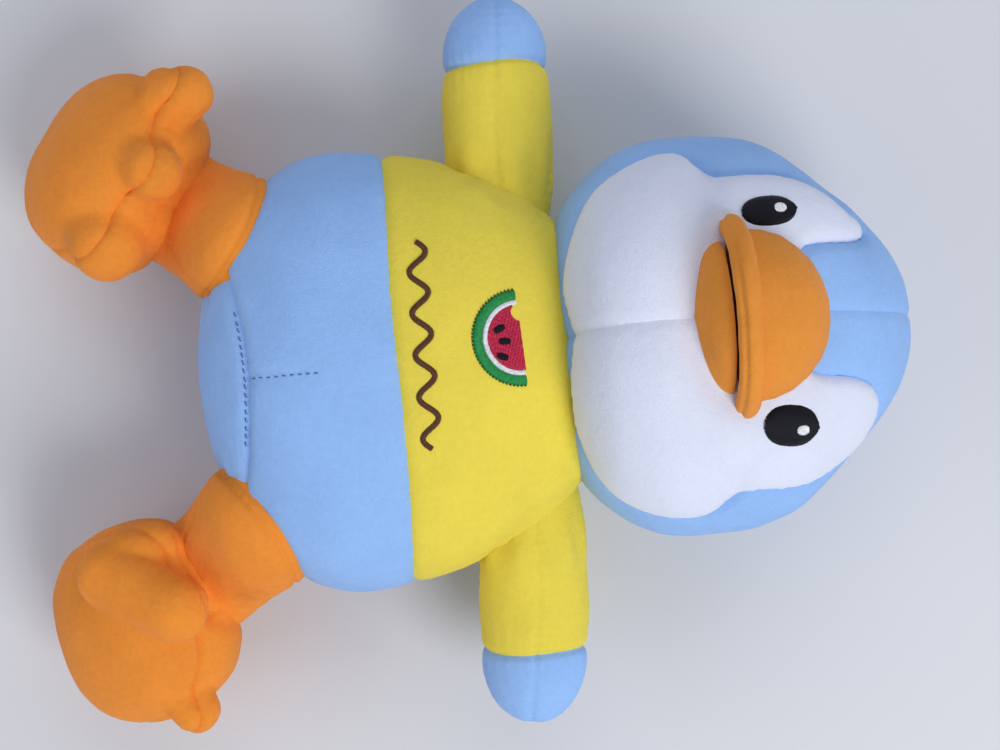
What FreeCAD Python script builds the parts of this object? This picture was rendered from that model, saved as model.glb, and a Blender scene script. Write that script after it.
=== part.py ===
import FreeCAD, Part
import os
import math
from FreeCAD import Vector as V, Matrix, Rotation, Placement

# Plush penguin lying on its back.  Units mm.
# +X is the penguin's left, +Y runs from the seat to the head, +Z points up out of the belly.
# Origin: waist seam level on the centre plane, on the flat patch of the back that rests on a surface.

# ---------------------------------------------------------------- driving dimensions
FABRIC = 2.0            # pile fabric with its backing
FILL_GAP = 0.3          # stuffing stays this far inside the fabric
PAD = 0.9               # thickness of raised embroidery

TORSO_Z = 55.0          # height of the torso's axis above the resting surface
TORSO_FLAT = 0.66       # thickness of the torso against its width
# (Y, half width) from the seat to the neck
TORSO = [(-79.5, 0.0), (-78.0, 16.0), (-74.0, 34.0), (-66.0, 54.0), (-54.0, 72.0), (-40.0, 82.5),
         (-22.0, 87.5), (-5.0, 86.5), (15.0, 82.5), (33.0, 76.0), (50.0, 67.0), (65.0, 56.0), (78.0, 42.0),
         (86.0, 26.0), (89.0, 0.0)]
WAIST_TILT = 3.5        # degrees, the waist seam stands a little higher in front
SEAT_Y = -57.0          # seat seam level on the torso's axis
SEAT_TILT = 4.5

NECK = V(-1.0, 66.0, 56.0)
NECK_R = 39.0
NECK_CLEAR = 0.9
HEAD_CONE = 13.0        # degrees of room between head and neck
TORSO_CONE = 11.0
SEAM_RING_R = 38.75         # the seam lies close round the neck, clear of both sleeves
SEAM_RING_T = 1.4

HEAD_C = V(-2.6, 0.0, 61.0)
HEAD_FLAT = 0.815
HEAD_TURN = 5.0         # degrees, the face looks a little to the penguin's right
HEAD = [(62.0, 0.0), (63.5, 25.0), (69.0, 52.0), (80.0, 65.0), (92.0, 73.0), (104.0, 76.8), (116.0, 77.6),
        (128.0, 77.2), (140.0, 75.2), (150.0, 71.0), (159.0, 64.6), (166.0, 58.8), (172.5, 53.0), (180.0, 46.0),
        (187.0, 38.4), (193.0, 30.0), (197.8, 20.0), (200.5, 10.0), (201.3, 0.0)]

BEAK_X = -7.0
BEAK_Z = 111.0
UPPER_BEAK = (32.5, 31.0, 37.0)   # half sizes of the domed upper beak
UPPER_BEAK_Y = 128.8
LIP_Y = 125.0
LIP_R = 3.9
LOWER_BEAK = (29.0, 12.5, 31.0)
LOWER_BEAK_Y = 121.0
LOWER_BEAK_TOP = 118.0
JAW = V(-6.5, 113.0, 119.0)

ARM_R_ROOT, ARM_R_TIP = V(-57.0, 46.0, 48.0), V(-146.5, 49.5, 46.0)
ARM_L_ROOT, ARM_L_TIP = V(57.0, 49.0, 48.0), V(147.5, 42.5, 46.0)
ARM_W = 21.0            # half thickness of an arm
CUFF = 60.0             # the sleeve ends and the hand begins this far from the shoulder
ARM_SWING = (-28.0, 34.0)

HIP_R, ANKLE_R = V(-49.0, -49.0, 58.0), V(-85.5, -104.0, 38.5)
HIP_L, ANKLE_L = V(51.5, -51.0, 58.0), V(92.5, -107.5, 37.5)
LEG_W = 24.5            # half thickness of a leg
HIP_SWING = (-10.0, 60.0)

FOOT_W, FOOT_T = 42.5, 26.5   # half width and half thickness of a foot
FOOT_R_C, FOOT_L_C = V(-89.5, -110.0, 43.0), V(92.0, -115.0, 41.0)
FOOT_R_TOE, FOOT_R_WIDE = V(0.305, 0.480, 0.822), V(0.834, -0.551, 0.0)
FOOT_L_TOE, FOOT_L_WIDE = V(-0.160, 0.784, 0.600), V(0.980, 0.200, 0.0)
TOE_R = 14.5
ANKLE_FLEX = (-35.0, 15.0)
SOLE_AT = 7.0           # the seam round the sole, from the middle of the foot

JOINT_GAP = 0.9

BIG = 600.0
os.makedirs("parts", exist_ok=True)


def save(name, shape):
    biggest = max(s.Volume for s in shape.Solids)
    solids = [s for s in shape.Solids if s.Volume > 0.06 * biggest]
    out = solids[0] if len(solids) == 1 else Part.makeCompound(solids)
    print("%-28s %2d solids %10.1f mm3 valid %s" % (name, len(solids), sum(s.Volume for s in solids),
                                                   all(s.isValid() for s in solids)))
    out.exportStep("parts/" + name + ".step")
    return out


def revolved(profile, inset=0.0):
    """A closed smooth body turned about +Y from (along, radius) stations, each wall moved in by inset."""
    a0, a1 = profile[0][0], profile[-1][0]
    pts = []
    n = len(profile)
    for i, (a, r) in enumerate(profile):
        if i == 0:
            pts.append(V(0, a + inset, 0))
        elif i == n - 1:
            pts.append(V(0, a - inset, 0))
        else:
            ta = profile[i + 1][0] - profile[i - 1][0]
            tr = profile[i + 1][1] - profile[i - 1][1]
            length = math.hypot(ta, tr)
            na, nr = -tr / length, ta / length
            pts.append(V(max(r - nr * inset, 0.4), a - na * inset, 0))
    curve = Part.BSplineCurve()
    curve.interpolate(pts, InitialTangent=V(1, 0, 0), FinalTangent=V(-1, 0, 0))
    edge = curve.toShape()
    axis = Part.LineSegment(pts[-1], pts[0]).toShape()
    face = Part.Face(Part.Wire([edge, axis]))
    return face.revolve(V(0, 0, 0), V(0, 1, 0), 360)


def stretched(shape, sx, sy, sz):
    m = Matrix()
    m.scale(sx, sy, sz)
    return shape.transformGeometry(m)


def frame_to(shape, x, y, z, at):
    """Place a shape so that its own X, Y, Z run along the three directions given."""
    m = Matrix(x.x, y.x, z.x, at.x, x.y, y.y, z.y, at.y, x.z, y.z, z.z, at.z, 0, 0, 0, 1)
    s = shape.copy()
    s.Placement = Placement(m)
    return s


def moved(shape, v):
    s = shape.copy()
    s.translate(v)
    return s


def turned(shape, centre, axis, deg):
    s = shape.copy()
    s.rotate(centre, axis, deg)
    return s


def block(x0, x1, y0, y1, z0, z1):
    return Part.makeBox(x1 - x0, y1 - y0, z1 - z0, V(x0, y0, z0))


ABOVE_REST = block(-BIG, BIG, -BIG, BIG, 0.0, BIG)


def torso_body(inset):
    b = stretched(revolved(TORSO, inset), 1.0, 1.0, TORSO_FLAT)
    b = moved(b, V(0, 0, TORSO_Z))
    return b.common(block(-BIG, BIG, -BIG, BIG, max(inset, 0.0), BIG))


def head_body(inset):
    b = stretched(revolved(HEAD, inset), 1.0, 1.0, HEAD_FLAT)
    b = moved(b, HEAD_C)
    return b.common(block(-BIG, BIG, -BIG, BIG, max(inset, 0.0) + 0.2, BIG))


def revolve_poly(points, centre):
    """Solid turned about +Y through centre from a polygon of (radius, Y)."""
    pts = [V(centre.x + r, y, centre.z) for r, y in points]
    face = Part.Face(Part.makePolygon(pts + [pts[0]]))
    return face.revolve(centre, V(0, 1, 0), 360)


def prism(outline, z0, z1):
    pts = [V(x, y, z0) for x, y in outline]
    face = Part.Face(Part.makePolygon(pts + [pts[0]]))
    return face.extrude(V(0, 0, z1 - z0))


def smooth_prism(outline, z0, z1):
    c = Part.BSplineCurve()
    c.interpolate([V(x, y, z0) for x, y in outline], PeriodicFlag=True)
    return Part.Face(Part.Wire([c.toShape()])).extrude(V(0, 0, z1 - z0))


def oval_prism(cx, cy, rx, ry, z0, z1, turn=0.0):
    pts = []
    for i in range(12):
        a = 2 * math.pi * i / 12
        x, y = rx * math.cos(a), ry * math.sin(a)
        t = math.radians(turn)
        pts.append((cx + x * math.cos(t) - y * math.sin(t), cy + x * math.sin(t) + y * math.cos(t)))
    return smooth_prism(pts, z0, z1)


# ---------------------------------------------------------------- limbs
def limb(root, tip, r, inset, from_root=0.0):
    """A round stuffed tube from the root to the tip; both ends are half balls. The tip point is its very end."""
    d = tip - root
    length = d.Length - r
    y = V(d).normalize()
    q = r - inset
    h = q * math.sqrt(0.5)
    a = Part.Arc(V(0, -q, 0), V(h, -h, 0), V(q, 0, 0)).toShape()
    b = Part.LineSegment(V(q, 0, 0), V(q, length, 0)).toShape()
    c = Part.Arc(V(q, length, 0), V(h, length + h, 0), V(0, length + q, 0)).toShape()
    e = Part.LineSegment(V(0, length + q, 0), V(0, -q, 0)).toShape()
    body = Part.Face(Part.Wire([a, b, c, e])).revolve(V(0, 0, 0), V(0, 1, 0), 360)
    x = y.cross(V(0, 0, 1)).normalize()
    return frame_to(body, x, y, x.cross(y), root), y


def swing_room(root, tip, r, axis, swing, length):
    """Room that a limb of half thickness r needs as it swings about the root."""
    q = r + JOINT_GAP
    d = V(tip - root).normalize()
    out = [Part.makeSphere(q, root)]
    for a in swing:
        out.append(Part.makeCylinder(q, length, root, Rotation(axis, a).multVec(d)))
    first = Rotation(axis, swing[0]).multVec(d)
    k = V(axis).normalize() * q
    corners = [root - k, root + first * length - k, root + first * length + k, root + k]
    face = Part.Face(Part.makePolygon(corners + [corners[0]]))
    out.append(face.revolve(root, axis, swing[1] - swing[0]))
    return out


def foot_body(centre, toe, wide, inset):
    t = V(toe).normalize()
    w = V(wide).normalize()
    n = t.cross(w).normalize()
    if n.y > 0:
        n = n * -1
    q = FOOT_T - inset
    flat = FOOT_W - FOOT_T
    h = q * math.sqrt(0.5)
    a = Part.LineSegment(V(0, 0, -q), V(flat, 0, -q)).toShape()
    b = Part.Arc(V(flat, 0, -q), V(flat + q, 0, 0), V(flat, 0, q)).toShape()
    c = Part.LineSegment(V(flat, 0, q), V(0, 0, q)).toShape()
    e = Part.LineSegment(V(0, 0, q), V(0, 0, -q)).toShape()
    pill = Part.Face(Part.Wire([a, b, c, e])).revolve(V(0, 0, 0), V(0, 0, 1), 360)
    body = frame_to(pill, w, n.cross(w), n, centre)
    for k, along in ((-1, 27.0), (0, 34.0), (1, 27.0)):
        body = body.fuse(Part.makeSphere(TOE_R - inset, centre + w * (k * 26.0) + t * along + n * 3.0))
    return body.common(block(-BIG, BIG, -BIG, BIG, max(inset, 0.0) + 0.3, BIG)), t, w, n


# ---------------------------------------------------------------- build torso
torso_out = torso_body(0.0)
torso_in = torso_body(FABRIC)
torso_fill = torso_body(FABRIC + FILL_GAP)
neck_pocket = Part.makeSphere(NECK_R + NECK_CLEAR, NECK)
tc, hc = math.tan(math.radians(TORSO_CONE)), math.tan(math.radians(HEAD_CONE))
above_neck = revolve_poly([(0, NECK.y), (300, NECK.y - 300 * tc), (300, 400), (0, 400)], NECK)
below_neck = revolve_poly([(0, NECK.y), (300, NECK.y + 300 * hc), (300, -300), (0, -300)], NECK)

joint_room = []
for root, tip, sign in ((ARM_R_ROOT, ARM_R_TIP, -1), (ARM_L_ROOT, ARM_L_TIP, 1)):
    joint_room += swing_room(root, tip, ARM_W, V(0, 0, sign), ARM_SWING, 80)
axes = {}
for side, root, tip in (("right", HIP_R, ANKLE_R), ("left", HIP_L, ANKLE_L)):
    d = V(tip - root).normalize()
    axis = V(-d.y, d.x, 0).normalize()
    if Rotation(axis, 10).multVec(d).z < d.z:
        axis = axis * -1                        # a positive swing lifts the leg in front of the belly
    axes[side] = axis
    joint_room += swing_room(root, tip, LEG_W, axis, HIP_SWING, 80)
print("hip axes", axes)

cutters = [neck_pocket, above_neck] + joint_room


def carve(shape, tools):
    return shape.cut(tools)


torso_shell = torso_out.cut(torso_in)
torso_shell = carve(torso_shell, cutters)
torso_fill = carve(torso_fill, cutters)
save("torso_stuffing", torso_fill)

waist = turned(block(-BIG, BIG, 0.0, BIG, -BIG, BIG), V(0, 0, TORSO_Z), V(1, 0, 0), -WAIST_TILT)
seat = turned(block(-BIG, BIG, -BIG, SEAT_Y, -BIG, BIG), V(0, SEAT_Y, TORSO_Z), V(1, 0, 0), -SEAT_TILT)
front = block(-BIG, BIG, -BIG, BIG, TORSO_Z, BIG)
shirt = torso_shell.common(waist)
lower = torso_shell.cut(waist).cut(seat)
save("shirt_front", shirt.common(front))
save("shirt_back", shirt.cut(front))
save("lower_body_front", lower.common(front))
save("lower_body_back", lower.cut(front))
save("seat_panel", torso_shell.common(seat))

# ---------------------------------------------------------------- embroidery on the chest and seam thread
pad_out, pad_base = torso_body(-PAD), torso_body(-0.05)
chest_skin = pad_out.cut(pad_base).common(block(-60, 60, -78, 64, TORSO_Z + 20, BIG))


def half_disc(cx, cy, r, flat_y, x_turn):
    pts = []
    for i in range(25):
        a = math.pi + math.pi * i / 24
        pts.append((r * math.cos(a), r * 0.98 * math.sin(a)))
    pts += [(r, flat_y), (-r, flat_y)]
    t = math.radians(x_turn)
    return [(cx + x * math.cos(t) - y * math.sin(t), cy + x * math.sin(t) + y * math.cos(t)) for x, y in pts]


SLICE = (-7.0, 48.5)
SLICE_TURN = 3.0
rind_p = prism(half_disc(SLICE[0], SLICE[1], 17.6, 0.0 + 0.5, SLICE_TURN), 40, 200)
pith_p = prism(half_disc(SLICE[0], SLICE[1], 14.0, 0.0 + 0.4, SLICE_TURN), 40, 200)
flesh_p = prism(half_disc(SLICE[0], SLICE[1], 12.2, 0.0 + 0.3, SLICE_TURN), 40, 200)
seeds_p = [oval_prism(-10.6, 41.0, 1.1, 2.1, 40, 200, 24), oval_prism(-5.9, 42.6, 1.1, 2.1, 40, 200, -4),
           oval_prism(-0.4, 41.4, 1.1, 2.1, 40, 200, -20)]
seeds_u = seeds_p[0].fuse(seeds_p[1]).fuse(seeds_p[2])
save("slice_rind", chest_skin.common(rind_p.cut(pith_p)))
save("slice_pith", chest_skin.common(pith_p.cut(flesh_p)))
save("slice_flesh", chest_skin.common(flesh_p.cut(seeds_u)))
save("slice_seeds", chest_skin.common(seeds_u))

wave = []
WX0, WX1, WY, WA, WT, WN = -45.0, 31.0, 13.4, 3.2, 1.0, 5
up_side, down_side = [], []
for i in range(81):
    u = i / 80.0
    x = WX0 + (WX1 - WX0) * u
    ph = 2 * math.pi * WN * u
    y = WY + WA * math.sin(ph)
    slope = WA * math.cos(ph) * 2 * math.pi * WN / (WX1 - WX0)
    k = math.hypot(1, slope)
    up_side.append((x - slope / k * WT, y + WT / k))
    down_side.append((x + slope / k * WT, y - WT / k))
save("chest_wave_embroidery", chest_skin.common(prism(up_side + down_side[::-1], 60, 200)))


torso_curve = Part.BSplineCurve()
torso_curve.interpolate([V(r, a, 0) for a, r in TORSO], InitialTangent=V(1, 0, 0), FinalTangent=V(-1, 0, 0))
torso_table = [torso_curve.value(torso_curve.FirstParameter + (torso_curve.LastParameter - torso_curve.FirstParameter)
                                 * i / 1500.0) for i in range(1501)]


def belly_z(x, y):
    """Height of the front of the torso above a point of the resting plane."""
    near = min(torso_table, key=lambda p: abs(p.y - y))
    return TORSO_Z + TORSO_FLAT * math.sqrt(max(near.x ** 2 - x * x, 0.0))


def stitch(p, q, r):
    d = q - p
    return Part.makeCylinder(r, d.Length, p, d)


# every stitch lies just over the fabric, along the seam
stitches = []
tan_seat = math.tan(math.radians(SEAT_TILT))


def seat_line(x):
    y = SEAT_Y
    for _ in range(6):
        y = SEAT_Y + (belly_z(x, y) - TORSO_Z) * tan_seat
    return V(x, y, belly_z(x, y) + 0.42)


for i in range(17):
    x = -24.0 + 48.0 * i / 16
    stitches.append(stitch(seat_line(x - 1.0), seat_line(x + 1.0), 0.3))
save("seat_seam_stitches", Part.makeCompound(stitches))
dart = []
for i in range(9):
    y = -49.0 + 23.0 * i / 8
    dart.append(stitch(V(0, y - 1.0, belly_z(0, y - 1.0) + 0.42), V(0, y + 1.0, belly_z(0, y + 1.0) + 0.42), 0.3))
save("belly_dart_stitches", Part.makeCompound(dart))

# ---------------------------------------------------------------- neck
neck_ball = Part.makeSphere(NECK_R, NECK)
neck_in = Part.makeSphere(NECK_R - FABRIC, NECK)
save("neck_tube", neck_ball.cut(neck_in))
save("neck_stuffing", Part.makeSphere(NECK_R - FABRIC - FILL_GAP, NECK))
ring = Part.makeTorus(SEAM_RING_R, SEAM_RING_T, V(NECK.x, NECK.y - 4.6, NECK.z), V(0, 1, 0))
ring = ring.cut(Part.makeSphere(NECK_R + 0.05, NECK))
save("neck_seam_ring", ring)

# ---------------------------------------------------------------- head
head_out, head_in = head_body(0.0), head_body(FABRIC)
head_fill = head_body(FABRIC + FILL_GAP)
head_cut = [neck_pocket, below_neck]
head_shell = carve(head_out.cut(head_in), head_cut)
head_fill = carve(head_fill, head_cut)
save("head_stuffing", head_fill)

MASK_R = [(-7.4, 69.0), (-25.0, 67.0), (-43.2, 70.4), (-55.5, 78.5), (-63.4, 88.5), (-68.8, 99.6), (-70.3, 109.8),
          (-67.5, 117.5), (-61.2, 125.5), (-60.2, 133.2), (-59.0, 143.5), (-57.0, 154.5), (-52.5, 163.5),
          (-44.0, 176.0), (-37.5, 182.0), (-33.0, 172.0), (-32.4, 160.1), (-30.9, 152.5), (-7.4, 152.5)]
MASK_L = [(-7.4, 69.0), (12.0, 67.0), (31.1, 68.4), (44.8, 72.2), (52.7, 78.9), (61.1, 88.8), (64.6, 98.8),
          (65.0, 109.1), (61.4, 119.1), (57.0, 126.5), (57.0, 131.5), (57.5, 141.0), (56.5, 150.2), (53.0, 161.3),
          (44.7, 172.1), (36.0, 179.2), (27.5, 181.0), (21.0, 175.5), (17.0, 165.3), (15.5, 152.5), (-7.4, 152.5)]
MIDFACE = turned(block(-BIG, HEAD_C.x, -BIG, BIG, -BIG, BIG), HEAD_C, V(0, 1, 0), -HEAD_TURN)
mask_r, mask_l = prism(MASK_R, 62, 200), prism(MASK_L, 62, 200)
mask = mask_r.fuse(mask_l)
face = head_shell.common(mask)
hood = head_shell.cut(mask)
save("face_panel_right", face.common(MIDFACE))
save("face_panel_left", face.cut(MIDFACE))
save("hood_right", hood.common(MIDFACE))
save("hood_left", hood.cut(MIDFACE))

head_pad = head_body(-PAD).cut(head_body(-0.05))
EYES = {"right": (-44.3, 140.6, 5.4, 10.0, 2.0), "left": (32.8, 141.6, 7.3, 10.0, -8.0)}
GLINT = {"right": (-44.6, 144.2, 1.7, 2.1), "left": (34.6, 145.0, 1.8, 2.1)}
for side in ("right", "left"):
    x, y, rx, ry, t = EYES[side]
    gx, gy, grx, gry = GLINT[side]
    eye, glint = oval_prism(x, y, rx, ry, 62, 200, t), oval_prism(gx, gy, grx, gry, 62, 200)
    save(side + "_eye", head_pad.common(eye.cut(glint)))
    save(side + "_eye_highlight", head_pad.common(glint))

# ---------------------------------------------------------------- beak
# the round of the face where the beak sits, and the room in front of it that the lower beak needs to flex
FACE_BALL, FACE_BALL_R = V(-3.0, 118.0, 26.2), 98.9
head_keep = Part.makeSphere(FACE_BALL_R, FACE_BALL)
head_room = Part.makeSphere(FACE_BALL_R + 2.3, FACE_BALL)


def beak_dome(sizes, y, inset):
    s = stretched(Part.makeSphere(1.0), sizes[0] - inset, sizes[1] - inset, sizes[2] - inset)
    return moved(s, V(BEAK_X, y, BEAK_Z))


upper_keep = block(-BIG, BIG, UPPER_BEAK_Y, BIG, 60, BIG)
upper_out = beak_dome(UPPER_BEAK, 128.0, 0.0)
upper_in = beak_dome(UPPER_BEAK, 128.0, FABRIC)
upper_fill = beak_dome(UPPER_BEAK, 128.0, FABRIC + FILL_GAP)
save("upper_beak", upper_out.cut(upper_in).common(upper_keep).cut(head_keep))
save("beak_stuffing", upper_fill.common(upper_keep).cut(Part.makeSphere(FACE_BALL_R + 0.2, FACE_BALL)))
lip = Part.makeTorus(33.5, LIP_R, V(BEAK_X, LIP_Y - 0.25, BEAK_Z), V(0, 1, 0))
lip = stretched(moved(lip, V(-BEAK_X, 0, -BEAK_Z)), 0.94, 1.0, 1.09)
lip = moved(lip, V(BEAK_X, 0, BEAK_Z)).cut(block(-BIG, BIG, UPPER_BEAK_Y, BIG, -BIG, BIG)).cut(head_keep)
save("beak_lip", lip)
palate = Part.makeCylinder(27.4, 1.6, V(BEAK_X, LIP_Y - 0.8, BEAK_Z), V(0, 1, 0))
save("mouth_lining", palate.cut(head_keep))
lower_out = beak_dome(LOWER_BEAK, LOWER_BEAK_Y, 0.0)
lower_in = beak_dome(LOWER_BEAK, LOWER_BEAK_Y, FABRIC)
lower_fill = beak_dome(LOWER_BEAK, LOWER_BEAK_Y, FABRIC + FILL_GAP)
keep_l = block(-BIG, BIG, -BIG, LOWER_BEAK_TOP, 60, BIG)
keep_f = block(-BIG, BIG, -BIG, LOWER_BEAK_TOP - FABRIC - FILL_GAP, 60, BIG)
keep_i = block(-BIG, BIG, -BIG, LOWER_BEAK_TOP - FABRIC, 60, BIG)
save("lower_beak", lower_out.common(keep_l).cut(lower_in.common(keep_i)).cut(head_room))
save("lower_beak_stuffing", lower_fill.common(keep_f).cut(head_room))

# ---------------------------------------------------------------- arms
for side, root, tip in (("right", ARM_R_ROOT, ARM_R_TIP), ("left", ARM_L_ROOT, ARM_L_TIP)):
    out, y = limb(root, tip, ARM_W, 0.0)
    shell = out.cut(limb(root, tip, ARM_W, FABRIC)[0])
    cuff = Part.makeCylinder(60.0, 200.0, root + y * CUFF, y)
    save(side + "_sleeve", shell.cut(cuff))
    save(side + "_hand_tip", shell.common(cuff))
    save(side + "_arm_stuffing", limb(root, tip, ARM_W, FABRIC + FILL_GAP)[0])

# ---------------------------------------------------------------- legs and feet
for side, hip, ankle, centre, toe, wide in (
        ("right", HIP_R, ANKLE_R, FOOT_R_C, FOOT_R_TOE, FOOT_R_WIDE),
        ("left", HIP_L, ANKLE_L, FOOT_L_C, FOOT_L_TOE, FOOT_L_WIDE)):
    y = V(ankle - hip).normalize()
    end = ankle + y * LEG_W
    save(side + "_leg", limb(hip, end, LEG_W, 0.0)[0].cut(limb(hip, end, LEG_W, FABRIC)[0]))
    save(side + "_leg_stuffing", limb(hip, end, LEG_W, FABRIC + FILL_GAP)[0])
    f_out, t, w, n = foot_body(centre, toe, wide, 0.0)
    f_in = foot_body(centre, toe, wide, FABRIC)[0]
    f_fill = foot_body(centre, toe, wide, FABRIC + FILL_GAP)[0]
    room = swing_room(ankle, hip, LEG_W, axes[side], (-ANKLE_FLEX[1], -ANKLE_FLEX[0]), 90)
    f_shell = f_out.cut(f_in).cut(room)
    f_fill = f_fill.cut(room)
    sole = Part.makeCylinder(200.0, 200.0, centre + n * SOLE_AT, n)
    save(side + "_foot_sole", f_shell.common(sole))
    save(side + "_foot_upper", f_shell.cut(sole))
    save(side + "_foot_stuffing", f_fill)
    print(side, "ankle axis", axes[side], "sole out", n, "toes", t)
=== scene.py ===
import math
import bpy
import bmesh
import numpy as np
from mathutils import Matrix, Vector
from mathutils.bvhtree import BVHTree


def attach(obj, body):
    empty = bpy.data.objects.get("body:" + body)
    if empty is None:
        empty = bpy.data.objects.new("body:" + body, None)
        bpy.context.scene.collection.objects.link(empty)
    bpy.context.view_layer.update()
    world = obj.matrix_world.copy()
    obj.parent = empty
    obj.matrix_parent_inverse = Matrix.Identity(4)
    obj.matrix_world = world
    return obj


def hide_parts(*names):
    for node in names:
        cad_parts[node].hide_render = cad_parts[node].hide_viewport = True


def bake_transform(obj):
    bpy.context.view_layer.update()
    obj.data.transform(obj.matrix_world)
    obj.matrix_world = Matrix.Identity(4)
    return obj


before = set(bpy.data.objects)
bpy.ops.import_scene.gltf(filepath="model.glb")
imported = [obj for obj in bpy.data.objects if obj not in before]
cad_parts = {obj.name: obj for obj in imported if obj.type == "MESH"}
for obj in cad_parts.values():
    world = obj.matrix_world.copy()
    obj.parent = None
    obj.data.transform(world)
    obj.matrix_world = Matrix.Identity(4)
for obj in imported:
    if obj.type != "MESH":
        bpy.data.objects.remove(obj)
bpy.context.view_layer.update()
RNG = np.random.default_rng(7)


# ------------------------------------------------------------------ small maths (all lengths in mm)
def table(points, n=1200):
    """Dense smooth table of a curve through (along, value) points."""
    p = np.array(points, float)
    t = np.concatenate([[0], np.cumsum(np.hypot(*np.diff(p, axis=0).T))])
    out = []
    m = len(p)
    for k in range(2):
        h = np.diff(t)
        a = np.zeros((m, m)); b = np.zeros(m)
        a[0, 0] = a[-1, -1] = 1
        for i in range(1, m - 1):
            a[i, i - 1], a[i, i], a[i, i + 1] = h[i - 1], 2 * (h[i - 1] + h[i]), h[i]
            b[i] = 6 * ((p[i + 1, k] - p[i, k]) / h[i] - (p[i, k] - p[i - 1, k]) / h[i - 1])
        s = np.linalg.solve(a, b)
        q = np.linspace(0, t[-1], n)
        i = np.clip(np.searchsorted(t, q) - 1, 0, m - 2)
        d0, d1 = q - t[i], t[i + 1] - q
        out.append((s[i] * d1 ** 3 + s[i + 1] * d0 ** 3) / (6 * h[i]) + (p[i, k] / h[i] - s[i] * h[i] / 6) * d1
                   + (p[i + 1, k] / h[i] - s[i + 1] * h[i] / 6) * d0)
    al, va = out
    al = np.maximum.accumulate(al)
    return al, np.maximum(va, 0.0)


def noise(p, scale, seed=0):
    """Smooth value noise, -1 to 1."""
    q = np.asarray(p, float) / scale + 31.7 * (seed + 1)
    i = np.floor(q).astype(np.int64)
    f = q - i
    u = f * f * (3 - 2 * f)

    def h(ix, iy, iz):
        n = (ix * 73856093) ^ (iy * 19349663) ^ (iz * 83492791) ^ (seed * 40503 + 12345)
        n = ((n ^ (n >> 13)) * 1274126177) & 0xFFFFFFFF
        return ((n ^ (n >> 16)) & 0xFFFF) / 32767.5 - 1.0

    r = 0.0
    for dx in (0, 1):
        for dy in (0, 1):
            for dz in (0, 1):
                w = ((u[:, 0] if dx else 1 - u[:, 0]) * (u[:, 1] if dy else 1 - u[:, 1])
                     * (u[:, 2] if dz else 1 - u[:, 2]))
                r = r + w * h(i[:, 0] + dx, i[:, 1] + dy, i[:, 2] + dz)
    return r


def smin(a, b, k):
    h = np.clip(0.5 + 0.5 * (b - a) / k, 0, 1)
    return b * (1 - h) + a * h - k * h * (1 - h)


def sstep(a, b, x):
    t = np.clip((x - a) / (b - a), 0, 1)
    return t * t * (3 - 2 * t)


def ico(sub):
    bm = bmesh.new()
    bmesh.ops.create_icosphere(bm, subdivisions=sub, radius=1.0)
    v = np.array([x.co[:] for x in bm.verts])
    f = np.array([[x.index for x in y.verts] for y in bm.faces])
    bm.free()
    v /= np.linalg.norm(v, axis=1)[:, None]
    return v, f


def project(centre, dirs, inside, rmax):
    """Where each ray from the centre leaves the body; inside(p) < 0 inside."""
    lo, hi = np.zeros(len(dirs)), np.full(len(dirs), float(rmax))
    for _ in range(34):
        mid = (lo + hi) / 2
        s = inside(centre + dirs * mid[:, None]) < 0
        lo, hi = np.where(s, mid, lo), np.where(s, hi, mid)
    return centre + dirs * ((lo + hi) / 2)[:, None]


def normals(v, f):
    n = np.zeros_like(v)
    c = np.cross(v[f[:, 1]] - v[f[:, 0]], v[f[:, 2]] - v[f[:, 0]])
    for k in range(3):
        np.add.at(n, f[:, k], c)
    return n / np.maximum(np.linalg.norm(n, axis=1), 1e-12)[:, None]


def refine(v, f, g, snap=0.12):
    """Adds vertices where g crosses zero, so faces can be told apart cleanly. Returns v, f, and g on the new v."""
    g = g.copy()
    e = np.sort(np.concatenate([f[:, [0, 1]], f[:, [1, 2]], f[:, [2, 0]]]), axis=1)
    ga, gb = g[e[:, 0]], g[e[:, 1]]
    cross = ga * gb < 0
    t = np.where(cross, ga / np.where(cross, ga - gb, 1), 0.5)
    near = np.concatenate([e[cross & (t < snap), 0], e[cross & (t > 1 - snap), 1]])
    g[near] = 0.0
    fg = g[f]
    mixed = (fg.max(1) > 0) & (fg.min(1) < 0)
    keep = f[~mixed]
    new_v, new_g, made, faces = [], [], {}, []
    base = len(v)

    def cut(a, b):
        key = (a, b) if a < b else (b, a)
        if key not in made:
            w = g[a] / (g[a] - g[b])
            made[key] = base + len(new_v)
            new_v.append(v[a] + (v[b] - v[a]) * w)
            new_g.append(0.0)
        return made[key]

    for tri in f[mixed]:
        s = [np.sign(g[i]) for i in tri]
        if 0 in s:
            k = s.index(0)
            a, b, c = tri[k], tri[(k + 1) % 3], tri[(k + 2) % 3]
            m = cut(b, c)
            faces += [(a, b, m), (a, m, c)]
        else:
            k = [i for i in range(3) if s.count(s[i]) == 1][0]
            a, b, c = tri[k], tri[(k + 1) % 3], tri[(k + 2) % 3]
            m1, m2 = cut(a, b), cut(a, c)
            faces += [(a, m1, m2), (m1, b, c), (m1, c, m2)]
    if new_v:
        v = np.concatenate([v, np.array(new_v)])
        g = np.concatenate([g, np.array(new_g)])
        keep = np.concatenate([keep, np.array(faces, dtype=keep.dtype)])
    return v, keep, g


def side(f, g):
    """True for faces on the positive side of g."""
    fg = g[f]
    return np.where(np.abs(fg.max(1)) >= np.abs(fg.min(1)), fg.max(1) > 0, False)


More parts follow.
